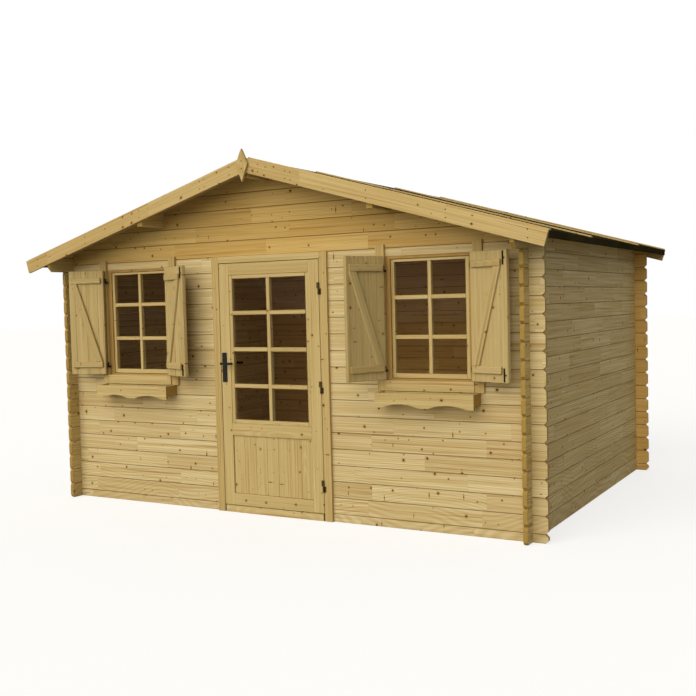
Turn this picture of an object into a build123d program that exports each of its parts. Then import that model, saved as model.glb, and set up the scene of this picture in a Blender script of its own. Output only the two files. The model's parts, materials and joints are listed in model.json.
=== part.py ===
from build123d import *
import math
import os

# Garden cabin of notched logs: a half-glazed door between two shuttered windows in the
# gable front, and a low felted roof on purlins.
# Millimetres. +X runs right along the front, +Y goes into the depth, +Z is up.
# The origin is on the ground at the plan centre of the log walls, and the door faces -Y.

# Logs
log_height = 114
log_thickness = 28
front_log_length = 4060
side_log_length = 3020
log_projection = 100
wall_courses = 16
log_joint_gap = 0.3
log_edge_bevel = 3
log_tip_bevel = 19
notch_clearance = 0.3

# Roof
roof_pitch = 16.17
eave_log_rise = 132
roof_half_width = 2145
front_overhang = 275
back_overhang = 208
deck_thickness = 18
felt_thickness = 4
felt_drop = 46
eave_board_margin = 6
purlin_width = 45
purlin_depth = 110
purlin_spacing = 965
eave_log_tip_bevel = 36
ridge_gap = 0.3

# Bargeboards, battens and finial
bargeboard_depth = 98
bargeboard_thickness = 20
batten_width = 40
batten_thickness = 9
batten_spacing = 1349
first_batten_setback = 655
batten_ridge_gap = 30
finial_height = 225
finial_width = 97
finial_thickness = 20
finial_rise = 56
finial_shoulder_share = 0.54

# Floor
floor_thickness = 18
floor_margin = 24
bearer_height = 30
bearer_width = 45
bearer_shares = (-0.97, -0.485, 0, 0.485, 0.97)
seat_gap = 0.3

# Door frame
door_leaf_width = 854
door_leaf_thickness = 40
door_gap = 5
jamb_width = 60
jamb_proud = 22
jamb_groove_depth = 30
log_end_clearance = 2
door_stop_width = 12
door_head_height = 46
threshold_height = 50

# Door leaf
stile_width = 85
glazing_border = 27
top_rail_height = 112
glass_bottom = 688
panel_top = 571
bottom_rail_height = 86
panel_thickness = 18
door_glass_setback = 18
glass_thickness = 4

# Door furniture
handle_plate_width = 39
handle_plate_height = 217
handle_plate_thickness = 6
handle_plate_below_lever = 138
handle_backset = 32
lever_height = 1101
lever_length = 100
lever_bar_height = 18
lever_bar_thickness = 12
lever_round_share = 0.9
lever_reach = 46
lever_neck_radius = 9
spindle_radius = 5
spindle_clearance = 0.3
hinge_heights = (247, 940, 1628)
hinge_barrel_radius = 6.5
hinge_barrel_height = 84
hinge_standoff = 1
hinge_plate_thickness = 2
hinge_plate_width = 16
hinge_running_gap = 0.5

# Windows
left_window_place_share = 0.508
right_window_place_share = 0.529
window_opening_width = 670
window_opening_height = 857
window_head_cover = 55
frame_side_width = 54
frame_bottom_height = 43
frame_top_height = 20
sash_side_width = 26
sash_bottom_height = 33
sash_top_height = 20
frame_setback = 2
frame_depth = 50
sash_setback = 9
sash_depth = 34
window_glass_setback = 28
window_glass_thickness = 4
post_width = 64
post_proud = 20
post_overlap = 20
post_tail = 37
post_head = 23
sill_height = 68
sill_thickness = 28

# Flower boxes
flower_box_width = 700
flower_box_depth = 130
flower_box_height = 97
flower_box_drop = 5
flower_box_wall = 18
flower_box_floor = 15
scallop_rise = 24
scallop_foot_share = 0.07
scallop_span_share = 0.38

# Shutters
shutter_bottom_gap = 6
shutter_height = 820
shutter_board_thickness = 28
shutter_ledge_thickness = 16
shutter_ledge_height = 45
shutter_ledge_inset = 56
shutter_ledge_end_gap = 18
shutter_brace_width = 55
shutter_window_gap = 5
shutter_edge_gap = 10
shutter_meeting_gap = 10
pivot_standoff = 18
pivot_inset = 5
pin_radius = 3.5
pin_clearance = 0.3
eye_radius = 7
eye_height = 26
strap_thickness = 3
strap_length = 150
pin_bracket_height = 12
pin_bracket_grip = 14

# How far each shutter stands open, as a share of a half turn from closed
left_window_left_open_share = 0.905
left_window_right_open_share = 0.865
right_window_left_open_share = 0.662
right_window_right_open_share = 0.892
half_turn = 180

cut_overrun = 20

# Places worked out from the sizes above
slope = math.tan(math.radians(roof_pitch))
slope_cosine = math.cos(math.radians(roof_pitch))
slope_sine = math.sin(math.radians(roof_pitch))
wall_x = front_log_length / 2 - log_projection
wall_y = side_log_length / 2 - log_projection
inner_x = wall_x - log_thickness
inner_y = wall_y - log_thickness
half_course = log_height / 2
notch_depth = log_height / 4
head_z = wall_courses * log_height + half_course
eave_z = wall_courses * log_height
underside_ridge = eave_z + eave_log_rise + wall_x * slope
deck_ridge = underside_ridge + deck_thickness / slope_cosine
felt_ridge = deck_ridge + felt_thickness / slope_cosine
roof_front = -wall_y - front_overhang
roof_back = wall_y + back_overhang
deck_front = roof_front + bargeboard_thickness
deck_back = roof_back - bargeboard_thickness

ALONG_X = (Vector(1, 0, 0), Vector(0, 1, 0))
ALONG_Y = (Vector(0, 1, 0), Vector(1, 0, 0))
UP = Vector(0, 0, 1)


def prism(points, direction, depth):
    """A flat outline of 3-D points carried along a direction."""
    outline = make_face(Polyline(*points, close=True))
    return extrude(outline, amount=depth, dir=direction)


def block(x_low, x_high, y_low, y_high, z_low, z_high):
    """A square-edged board between two corners."""
    size = (x_high - x_low, y_high - y_low, z_high - z_low)
    centre = ((x_low + x_high) / 2, (y_low + y_high) / 2, (z_low + z_high) / 2)
    return Pos(*centre) * Box(*size)


def save(name, *pieces):
    """Write the solids of one node."""
    solids = [solid for piece in pieces for solid in piece.solids()]
    shape = solids[0] if len(solids) == 1 else Compound(solids)
    export_step(shape, f"parts/{name}.step")


# Logs

def log_outline(start, end, low, high, crossings, bevels, cuts):
    """Points (along, up) of a log's long face, with its end bevels and its corner notches.

    crossings are the centres of the walls it crosses, bevels the two end bevels and
    cuts the depths of the lower and the upper notch.
    """
    half_notch = log_thickness / 2 + notch_clearance
    lower_cut, upper_cut = cuts
    start_bevel, end_bevel = bevels
    bottom = [(start + start_bevel, low)]
    top = [(start + start_bevel, high)]
    for centre in sorted(crossings):
        left = centre - half_notch
        right = centre + half_notch
        if lower_cut:
            floor = low + lower_cut
            bottom += [(left, low), (left, floor), (right, floor), (right, low)]
        if upper_cut:
            roof = high - upper_cut
            top += [(left, high), (left, roof), (right, roof), (right, high)]
    bottom.append((end - end_bevel, low))
    top.append((end - end_bevel, high))
    points = list(bottom)
    if end_bevel:
        points += [(end, low + end_bevel), (end, high - end_bevel)]
    points += reversed(top)
    if start_bevel:
        points += [(start, high - start_bevel), (start, low + start_bevel)]
    return points


def log(frame, across, start, end, low, high, crossings=(), bevels=(0, 0), cuts=(0, 0)):
    """One notched log lying along a frame's first direction, with its long edges bevelled."""
    along, over = frame
    face = log_outline(start, end, low, high, crossings, bevels, cuts)
    body = prism([along * u + over * across + UP * z for u, z in face], over, log_thickness)
    near = across
    far = across + log_thickness
    bevel = log_edge_bevel
    section = [
        (near + bevel, low), (far - bevel, low), (far, low + bevel), (far, high - bevel),
        (far - bevel, high), (near + bevel, high), (near, high - bevel), (near, low + bevel),
    ]
    bar = [along * start + over * v + UP * z for v, z in section]
    return body & prism(bar, along, end - start)


def course_cuts(is_first):
    """Depths of a course's lower and upper notch; the first course has no lower one."""
    upper = notch_depth + notch_clearance - log_joint_gap / 2
    return (0 if is_first else upper, upper)


def front_courses():
    """Lower and upper edge of each course of the front and back walls, from a half log up."""
    edges = [0] + [half_course + log_height * course for course in range(wall_courses + 1)]
    gap = log_joint_gap / 2
    return [(low + gap if low else low, high - gap) for low, high in zip(edges, edges[1:])]


def under_roof():
    """The space below the roof boards, as long as the roof."""
    reach = max(roof_half_width, front_log_length / 2)
    edge = underside_ridge - reach * slope
    points = [
        (-reach, 0), (reach, 0), (reach, edge), (0, underside_ridge), (-reach, edge),
    ]
    return prism([(x, roof_front, z) for x, z in points], ALONG_Y[0], roof_back - roof_front)


side_crossings = (-wall_x + log_thickness / 2, wall_x - log_thickness / 2)
end_crossings = (-wall_y + log_thickness / 2, wall_y - log_thickness / 2)
tips = (log_tip_bevel, log_tip_bevel)
log_half_x = front_log_length / 2
log_half_y = side_log_length / 2


def side_wall(across):
    """Full logs from the ground up to the eave log."""
    logs = []
    for course in range(wall_courses):
        low = course * log_height + (log_joint_gap / 2 if course else 0)
        high = (course + 1) * log_height - log_joint_gap / 2
        upper = notch_depth + notch_clearance - log_joint_gap / 2
        lower = upper + (0 if course else log_joint_gap / 2)
        logs.append(log(ALONG_Y, across, -log_half_y, log_half_y, low, high,
                        end_crossings, tips, (lower, upper)))
    return logs


def eave_log(across):
    """Top log of a side wall, run out to both bargeboards and bevelled to the roof."""
    low = eave_z + log_joint_gap / 2
    high = eave_z + eave_log_rise + log_thickness
    keep = eave_z + log_height - notch_depth
    cuts = (notch_depth + notch_clearance - log_joint_gap / 2, high - keep + notch_clearance)
    whole = log(ALONG_Y, across, deck_front, deck_back, low, high, end_crossings, (0, 0), cuts)
    for end, inward in ((deck_front, 1), (deck_back, -1)):
        tip = [
            (across, end, low), (across, end + inward * eave_log_tip_bevel, low),
            (across, end, low + eave_log_tip_bevel),
        ]
        whole -= prism(tip, ALONG_Y[1], log_thickness)
    return whole & under_roof()


def purlins():
    """Ridge purlin and one purlin half-way down each slope, with tops cut to the roof."""
    bars = []
    for centre in (-purlin_spacing, 0, purlin_spacing):
        top = underside_ridge - abs(centre) * slope
        bars.append(block(centre - purlin_width / 2, centre + purlin_width / 2,
                          deck_front, deck_back, top - purlin_depth, felt_ridge))
    return [bar & under_roof() for bar in bars]


def gable(across):
    """Logs above the door head, cut to the roof and notched for the purlins."""
    logs = []
    low = head_z
    first = True
    roof = under_roof()
    recess = notch_clearance
    while low < underside_ridge - half_course:
        high = low + log_height
        if high > underside_ridge - half_course:
            high = underside_ridge
        cuts = (notch_depth + notch_clearance - log_joint_gap / 2, 0) if first else (0, 0)
        crossings = side_crossings if first else ()
        ends = (log_half_x, tips) if first else (wall_x, (0, 0))
        piece = log(ALONG_X, across, -ends[0], ends[0], low + log_joint_gap / 2,
                    high - log_joint_gap / 2, crossings, ends[1], cuts) & roof
        for centre in (-purlin_spacing, 0, purlin_spacing):
            foot = underside_ridge - abs(centre) * slope - purlin_depth - recess
            piece -= block(centre - purlin_width / 2 - recess, centre + purlin_width / 2 + recess,
                           across - cut_overrun, across + log_thickness + cut_overrun,
                           foot, felt_ridge)
        logs += piece.solids()
        low = high
        first = False
    return logs


def back_wall():
    """Whole logs from side to side."""
    return [log(ALONG_X, inner_y, -log_half_x, log_half_x, low, high, side_crossings, tips,
                course_cuts(low == 0)) for low, high in front_courses()]


door_half = door_leaf_width / 2
jamb_inner = door_half + door_gap
jamb_outer = jamb_inner + jamb_width
log_stop = jamb_outer - jamb_groove_depth + log_end_clearance
window_high = head_z - window_head_cover
window_low = window_high - window_opening_height
beside_door = wall_x - jamb_outer
left_window_x = -jamb_outer - left_window_place_share * beside_door
right_window_x = jamb_outer + right_window_place_share * beside_door


def front_wall(side, window_x):
    """Logs of the front wall on one side of the door, cut round the window."""
    crossing = [side * (wall_x - log_thickness / 2)]
    left_edge = window_x - window_opening_width / 2
    right_edge = window_x + window_opening_width / 2
    logs = []

    def run(start, end, low, high, first):
        reaches_corner = max(abs(start), abs(end)) == log_half_x
        bevels = (log_tip_bevel * (start == -log_half_x), log_tip_bevel * (end == log_half_x))
        return log(ALONG_X, -wall_y, start, end, low, high, crossing if reaches_corner else (),
                   bevels, course_cuts(first))

    span = sorted((side * log_stop, side * log_half_x))
    for course, (low, high) in enumerate(front_courses()):
        if low > window_low and high < window_high:
            logs.append(run(span[0], left_edge, low, high, False))
            logs.append(run(right_edge, span[1], low, high, False))
        else:
            whole = run(span[0], span[1], low, high, course == 0)
            if low < window_high and high > window_low:
                whole -= block(left_edge, right_edge, -wall_y - cut_overrun,
                               -inner_y + cut_overrun, window_low, window_high)
            logs.append(whole)
    return logs


# Roof

def slope_outline(side, top_ridge, near_x, far_x, thickness):
    """Four corners (x, z) of a sheet that lies on one slope under a line from the ridge."""
    drop = thickness / slope_cosine
    return [
        (side * near_x, top_ridge - near_x * slope), (side * far_x, top_ridge - far_x * slope),
        (side * far_x, top_ridge - far_x * slope - drop),
        (side * near_x, top_ridge - near_x * slope - drop),
    ]


def roof_deck(side):
    """Roof boards of one slope, from the ridge to the eave."""
    outline = slope_outline(side, deck_ridge, ridge_gap / 2, deck_edge, deck_thickness)
    return prism([(x, deck_front, z) for x, z in outline], ALONG_Y[0], deck_back - deck_front)


def roof_felt(side):
    """Felt over one slope, turned down over the eave's edge."""
    sheet = slope_outline(side, felt_ridge, ridge_gap / 2, felt_edge, felt_thickness)
    top_end = felt_ridge - felt_edge * slope
    lip = [
        (side * deck_edge, top_end), (side * felt_edge, top_end),
        (side * felt_edge, top_end - felt_drop), (side * deck_edge, top_end - felt_drop),
    ]
    length = deck_back - deck_front
    cover = prism([(x, deck_front, z) for x, z in sheet], ALONG_Y[0], length)
    return cover + prism([(x, deck_front, z) for x, z in lip], ALONG_Y[0], length)


def roof_battens():
    """Strips that hold the felt down, run from ridge to eave at the verges and the laps."""
    lap = -wall_y + first_batten_setback - batten_width / 2
    starts = [deck_front, lap, lap + batten_spacing, deck_back - batten_width]
    top = felt_ridge + batten_thickness / slope_cosine
    strips = []
    for side in (-1, 1):
        outline = slope_outline(side, top, batten_ridge_gap, felt_edge, batten_thickness)
        for start in starts:
            strips.append(prism([(x, start, z) for x, z in outline], ALONG_Y[0], batten_width))
    return strips


def bargeboards(front_face):
    """Pair of verge boards that meet under the ridge, with their feet cut square."""
    boards = []
    end_z = felt_ridge - roof_half_width * slope
    foot_x = roof_half_width - bargeboard_depth * slope_sine
    foot_z = end_z - bargeboard_depth * slope_cosine
    near = ridge_gap / 2
    for side in (-1, 1):
        outline = [
            (side * near, felt_ridge - near * slope), (side * roof_half_width, end_z),
            (side * foot_x, foot_z),
            (side * near, felt_ridge - near * slope - bargeboard_depth / slope_cosine),
        ]
        boards.append(prism([(x, front_face, z) for x, z in outline], ALONG_Y[0],
                            bargeboard_thickness))
    return boards


def finial():
    """Kite-shaped board that covers the meeting of the front bargeboards."""
    top = felt_ridge + finial_rise
    shoulder = top - finial_height * (1 - finial_shoulder_share)
    outline = [
        (0, top), (-finial_width / 2, shoulder), (0, top - finial_height),
        (finial_width / 2, shoulder),
    ]
    return prism([(x, roof_front - finial_thickness, z) for x, z in outline], ALONG_Y[0],
                 finial_thickness)


deck_edge = roof_half_width - eave_board_margin
felt_edge = deck_edge + felt_thickness

# Floor

jamb_front = -wall_y - jamb_proud
jamb_back = -inner_y + jamb_proud


def floor_boards():
    """Floor laid on the bearers, clear of the walls."""
    return block(-inner_x + floor_margin, inner_x - floor_margin, -inner_y + floor_margin,
                 inner_y - floor_margin, bearer_height, bearer_height + floor_thickness)


def floor_bearers():
    """Bearers from front to back; those behind the door start at its threshold."""
    bars = []
    reach = inner_x - bearer_width / 2
    for share in bearer_shares:
        x = share * reach
        start = jamb_back if abs(x) < jamb_outer else -inner_y
        bars.append(block(x - bearer_width / 2, x + bearer_width / 2, start + seat_gap,
                          inner_y - seat_gap, 0, bearer_height))
    return bars


# Door

leaf_front = jamb_front
leaf_back = leaf_front + door_leaf_thickness
stop_front = leaf_back + door_gap
leaf_bottom = threshold_height + door_gap
leaf_top = head_z - door_head_height - door_gap
door_axis_x = door_half + door_gap / 2
door_axis_y = leaf_front - hinge_barrel_radius - hinge_standoff


def door_jamb(side):
    """Grooved post that takes the log ends, with a stop behind the leaf."""
    groove = jamb_outer - jamb_groove_depth
    slot_front = -wall_y - notch_clearance
    slot_back = -inner_y + notch_clearance
    plan = [
        (jamb_inner, jamb_front), (jamb_outer, jamb_front), (jamb_outer, slot_front),
        (groove, slot_front), (groove, slot_back), (jamb_outer, slot_back),
        (jamb_outer, jamb_back), (jamb_inner - door_stop_width, jamb_back),
        (jamb_inner - door_stop_width, stop_front), (jamb_inner, stop_front),
    ]
    return prism([(side * x, y, 0) for x, y in plan], UP, head_z)


def door_head():
    """Head between the jambs, with the same stop as they have."""
    low = head_z - door_head_height
    stop_low = low - door_stop_width
    section = [
        (jamb_front, low), (jamb_front, head_z), (jamb_back, head_z), (jamb_back, stop_low),
        (stop_front, stop_low), (stop_front, low),
    ]
    whole = prism([(-jamb_inner, y, z) for y, z in section], ALONG_X[0], 2 * jamb_inner)
    for side in (-1, 1):
        edges = sorted((side * (jamb_inner - door_stop_width), side * (jamb_inner + cut_overrun)))
        whole -= block(edges[0], edges[1], stop_front - cut_overrun, jamb_back + cut_overrun,
                       stop_low - cut_overrun, low)
        whole -= block(edges[0], edges[1], stop_front, jamb_back + cut_overrun,
                       stop_low - cut_overrun, head_z + cut_overrun)
    return whole


glass_half = door_half - stile_width - glazing_border
glass_front = leaf_front + door_glass_setback
panel_half = door_half - stile_width
panel_front = (leaf_front + leaf_back - panel_thickness) / 2
glass_top = leaf_top - top_rail_height
panel_bottom = leaf_bottom + bottom_rail_height
lever_x = -door_half + handle_backset


def spindle(radius, start, end):
    """Round bar through the leaf at the handle's height."""
    return extrude(Plane((lever_x, start, lever_height), z_dir=(0, 1, 0)) * Circle(radius),
                   amount=end - start)


def door_leaf():
    """Stiles and rails in one, open for the glass above and the boards below."""
    leaf = block(-door_half, door_half, leaf_front, leaf_back, leaf_bottom, leaf_top)
    front = leaf_front - cut_overrun
    back = leaf_back + cut_overrun
    leaf -= block(-glass_half, glass_half, front, back, glass_bottom, glass_top)
    leaf -= block(-panel_half, panel_half, front, back, panel_bottom, panel_top)
    return leaf - spindle(spindle_radius + spindle_clearance, front, back)


def handle_plates():
    """Long plates on both faces of the leaf, bored for the spindle."""
    bore = spindle(spindle_radius + spindle_clearance, leaf_front - cut_overrun,
                   leaf_back + cut_overrun)
    low = lever_height - handle_plate_below_lever
    plates = []
    for face in (leaf_front - handle_plate_thickness, leaf_back):
        plate = block(lever_x - handle_plate_width / 2, lever_x + handle_plate_width / 2,
                      face, face + handle_plate_thickness, low, low + handle_plate_height)
        corners = plate.edges().filter_by(Axis.Y)
        plates.append(fillet(corners, handle_plate_thickness) - bore)
    return plates


def door_lever():
    """Levers on both faces of the door, joined by the spindle."""
    outer = leaf_front - handle_plate_thickness - lever_reach
    inner = leaf_back + handle_plate_thickness + lever_reach
    grips = spindle(spindle_radius, outer, inner)
    neck_gap = spindle_clearance
    for start, end in ((outer, leaf_front - handle_plate_thickness - neck_gap),
                       (leaf_back + handle_plate_thickness + neck_gap, inner)):
        grips += spindle(lever_neck_radius, start, end)
    half = lever_bar_height / 2
    for face in (outer, inner - lever_bar_thickness):
        bar = block(lever_x - half, lever_x + lever_length, face, face + lever_bar_thickness,
                    lever_height - half, lever_height + half)
        grips += fillet(bar.edges().filter_by(Axis.Y), half * lever_round_share)
    return grips


def door_hinges(side):
    """Half of each barrel hinge, with a flat plate on the leaf (-1) or on the jamb (1)."""
    halves = []
    for height in hinge_heights:
        low = height - hinge_barrel_height / 2 if side > 0 else height + hinge_running_gap / 2
        tall = hinge_barrel_height / 2 - hinge_running_gap / 2
        barrel = Pos(door_axis_x, door_axis_y, low) * extrude(Circle(hinge_barrel_radius), tall)
        root = door_axis_x + side * door_gap / 2
        edges = sorted((root, root + side * hinge_plate_width))
        plate = block(edges[0], edges[1], leaf_front - hinge_plate_thickness, leaf_front,
                      low, low + tall)
        web_edges = sorted((door_axis_x, root + side * hinge_plate_thickness))
        web = block(web_edges[0], web_edges[1], door_axis_y,
                    door_axis_y + hinge_barrel_radius, low, low + tall)
        halves.append(barrel + web + plate)
    return halves


# Windows

frame_front = -wall_y + frame_setback
sash_front = -wall_y + sash_setback


def ring(outer, inner, front, depth):
    """Rectangular frame between two (x low, x high, z low, z high) outlines."""
    solid = block(outer[0], outer[1], front, front + depth, outer[2], outer[3])
    return solid - block(inner[0], inner[1], front - cut_overrun, front + depth + cut_overrun,
                         inner[2], inner[3])


def window_outlines(x):
    """Outlines of the opening, of the sash and of the glass of one window."""
    half = window_opening_width / 2
    opening = (x - half, x + half, window_low, window_high)
    sash_half = half - frame_side_width
    sash = (x - sash_half, x + sash_half, window_low + frame_bottom_height,
            window_high - frame_top_height)
    glass_half_width = sash_half - sash_side_width
    glass = (x - glass_half_width, x + glass_half_width, sash[2] + sash_bottom_height,
             sash[3] - sash_top_height)
    return opening, sash, glass


def window_casement(x):
    """Fixed frame and closed sash of one window."""
    opening, sash, glass = window_outlines(x)
    return ring(opening, sash, frame_front, frame_depth) + ring(sash, glass, sash_front, sash_depth)


def window_glass(x):
    """One pane of glass behind the sash's bars."""
    left, right, low, high = window_outlines(x)[2]
    front = -wall_y + window_glass_setback
    return block(left, right, front, front + window_glass_thickness, low, high)


post_inner = window_opening_width / 2 - post_overlap
post_front = -wall_y - post_proud
post_low = window_low - post_tail
post_high = head_z + post_head
sill_top = post_low + sill_height


def window_posts(x):
    """Posts that cover the log ends on both sides of a window and carry its shutters."""
    posts = []
    for side in (-1, 1):
        edges = sorted((x + side * post_inner, x + side * (post_inner + post_width)))
        posts.append(block(edges[0], edges[1], post_front, -wall_y, post_low, post_high))
    return posts


def window_sill(x):
    """Board between the feet of the posts."""
    return block(x - post_inner, x + post_inner, -wall_y - sill_thickness, -wall_y,
                 post_low, sill_top)


box_top = post_low - flower_box_drop
box_low = box_top - flower_box_height
box_front = -wall_y - flower_box_depth


def flower_box(x):
    """Open trough under a window; its front board has two shallow arches."""
    half = flower_box_width / 2
    foot = flower_box_width * scallop_foot_share
    span = flower_box_width * scallop_span_share

    def at(along, up):
        return (x + along, box_front, up)

    left = -half + foot
    right = half - foot
    crown = box_low + scallop_rise
    edge = [
        Line(at(-half, box_top), at(-half, box_low)), Line(at(-half, box_low), at(left, box_low)),
        ThreePointArc(at(left, box_low), at(left + span / 2, crown), at(left + span, box_low)),
        Line(at(left + span, box_low), at(right - span, box_low)),
        ThreePointArc(at(right - span, box_low), at(right - span / 2, crown), at(right, box_low)),
        Line(at(right, box_low), at(half, box_low)), Line(at(half, box_low), at(half, box_top)),
        Line(at(half, box_top), at(-half, box_top)),
    ]
    front = extrude(make_face(edge), amount=flower_box_wall, dir=ALONG_Y[0])
    floor_low = crown
    trough = block(x - half, x + half, box_front + flower_box_wall, -wall_y, floor_low, box_top)
    trough -= block(x - half + flower_box_wall, x + half - flower_box_wall,
                    box_front + flower_box_wall, -wall_y - flower_box_wall,
                    floor_low + flower_box_floor, box_top + cut_overrun)
    return front + trough


# Shutters

shutter_front = (frame_front - shutter_window_gap - shutter_ledge_thickness
                 - shutter_board_thickness)
pivot_y = post_front - pivot_standoff
pivot_offset = post_inner - pivot_inset
shutter_low = sill_top + shutter_bottom_gap
shutter_high = shutter_low + shutter_height
shutter_width = pivot_offset - shutter_edge_gap - shutter_meeting_gap / 2
ledge_lows = (shutter_low + shutter_ledge_inset,
              shutter_high - shutter_ledge_inset - shutter_ledge_height)
eye_lows = [low + (shutter_ledge_height - eye_height) / 2 for low in ledge_lows]


def swing(shape, x, side, open_share):
    """Turn a closed shutter about its pivot; side -1 hangs on the left post."""
    pivot = Pos(x + side * pivot_offset, pivot_y, 0)
    return pivot * Rot(0, 0, side * open_share * half_turn) * pivot.inverse() * shape


def shutter_edges(x, side):
    """Hinge edge and free edge of a closed shutter."""
    hinge = x + side * (pivot_offset - shutter_edge_gap)
    return hinge, hinge - side * shutter_width


def shutter(x, side, open_share):
    """Boards with two ledges and a brace on the face that looks at the window when closed."""
    hinge, free = shutter_edges(x, side)
    edges = sorted((hinge, free))
    board_back = shutter_front + shutter_board_thickness
    ledge_back = board_back + shutter_ledge_thickness
    leaf = block(edges[0], edges[1], shutter_front, board_back, shutter_low, shutter_high)
    for low in ledge_lows:
        leaf += block(edges[0] + shutter_ledge_end_gap, edges[1] - shutter_ledge_end_gap,
                      board_back, ledge_back, low, low + shutter_ledge_height)
    foot = hinge - side * shutter_ledge_end_gap
    head = free + side * shutter_ledge_end_gap
    foot_z = ledge_lows[0] + shutter_ledge_height
    head_end_z = ledge_lows[1]
    brace = [
        (foot, board_back, foot_z), (foot - side * shutter_brace_width, board_back, foot_z),
        (head, board_back, head_end_z),
        (head + side * shutter_brace_width, board_back, head_end_z),
    ]
    leaf += prism(brace, ALONG_Y[0], shutter_ledge_thickness)
    return swing(leaf, x, side, open_share)


def shutter_straps(x, side, open_share):
    """Iron straps on the outer boards, each cranked back to an eye beside the boards' edge."""
    hinge = shutter_edges(x, side)[0]
    pivot_x = x + side * pivot_offset
    outer = shutter_front - strap_thickness
    straps = []
    for low in eye_lows:
        eye = Pos(pivot_x, pivot_y, low) * extrude(Circle(eye_radius), eye_height)
        edges = sorted((pivot_x + side * eye_radius / 2, hinge - side * strap_length))
        plate = block(edges[0], edges[1], outer, shutter_front, low, low + eye_height)
        crank = block(pivot_x - eye_radius / 2, pivot_x + eye_radius / 2, outer, pivot_y,
                      low, low + eye_height)
        bore = Pos(pivot_x, pivot_y, low - cut_overrun) * extrude(
            Circle(pin_radius + pin_clearance), eye_height + 2 * cut_overrun)
        straps.append(swing(eye + crank + plate - bore, x, side, open_share))
    return straps


def shutter_pins(x):
    """Pins on brackets that grip the inner sides of the posts, each just below its eye."""
    pins = []
    for side in (-1, 1):
        pivot_x = x + side * pivot_offset
        for low in eye_lows:
            top = low - seat_gap
            edges = sorted((pivot_x - side * pin_radius, x + side * post_inner))
            bracket = block(edges[0], edges[1], pivot_y - pin_radius, post_front + pin_bracket_grip,
                            top - pin_bracket_height, top)
            pin = Pos(pivot_x, pivot_y, top) * extrude(Circle(pin_radius), eye_height)
            pins.append(bracket + pin)
    return pins


os.makedirs("parts", exist_ok=True)

save("left_wall", *side_wall(-wall_x))
save("right_wall", *side_wall(inner_x))
save("back_wall", *back_wall())
save("back_gable", *gable(inner_y))
save("front_gable", *gable(-wall_y))
save("front_wall_left", *front_wall(-1, left_window_x))
save("front_wall_right", *front_wall(1, right_window_x))
save("eave_logs", eave_log(-wall_x), eave_log(inner_x))
save("purlins", *purlins())
for side, word in ((-1, "left"), (1, "right")):
    save(f"{word}_roof_deck", roof_deck(side))
    save(f"{word}_roof_felt", roof_felt(side))
save("roof_battens", *roof_battens())
save("front_bargeboards", *bargeboards(roof_front))
save("back_bargeboards", *bargeboards(deck_back))
save("finial", finial())
save("floor_boards", floor_boards())
save("floor_bearers", *floor_bearers())

save("door_jambs", door_jamb(-1), door_jamb(1))
save("door_head", door_head())
save("door_threshold", block(-jamb_inner + door_stop_width, jamb_inner - door_stop_width,
                             jamb_front, jamb_back, 0, threshold_height))
save("door_leaf", door_leaf())
save("door_panel", block(-panel_half, panel_half, panel_front, panel_front + panel_thickness,
                         panel_bottom, panel_top))
save("door_glass", block(-glass_half, glass_half, glass_front, glass_front + glass_thickness,
                         glass_bottom, glass_top))
save("door_handle_plates", *handle_plates())
save("door_lever", door_lever())
save("door_hinges", *door_hinges(-1))
save("frame_hinges", *door_hinges(1))

windows = (
    ("left", left_window_x, left_window_left_open_share, left_window_right_open_share),
    ("right", right_window_x, right_window_left_open_share, right_window_right_open_share),
)
for word, x, left_open, right_open in windows:
    save(f"{word}_window_posts", *window_posts(x))
    save(f"{word}_window_casement", window_casement(x))
    save(f"{word}_window_glass", window_glass(x))
    save(f"{word}_window_sill", window_sill(x))
    save(f"{word}_flower_box", flower_box(x))
    save(f"{word}_window_pins", *shutter_pins(x))
    for side, hand, open_share in ((-1, "left", left_open), (1, "right", right_open)):
        save(f"{word}_window_{hand}_shutter", shutter(x, side, open_share))
        save(f"{word}_window_{hand}_straps", *shutter_straps(x, side, open_share))

print("door axis", door_axis_x, door_axis_y)
print("lever axis", lever_x, lever_height)
for word, x, left_open, right_open in windows:
    print(word, "shutter pivots", x - pivot_offset, x + pivot_offset, "at y", pivot_y)
print("ridge", felt_ridge, "box top", box_top, "box low", box_low, "sill top", sill_top)
print("shutters", shutter_low, shutter_high, "width", shutter_width)
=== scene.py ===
# %% [markdown]
# # A log garden cabin, dressed in Blender
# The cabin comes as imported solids: notched logs, roof, door, windows and shutters, each on the body
# that it moves with. What the eye reads as spruce, glass, iron and felt is still missing, and so is
# the thin joinery. This lesson loads the solids as a fixed frame and builds the rest round them, so
# a board that is added lies exactly where the solid says. Sizes are in metres.

# %% Load the frame
import json
import math

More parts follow.
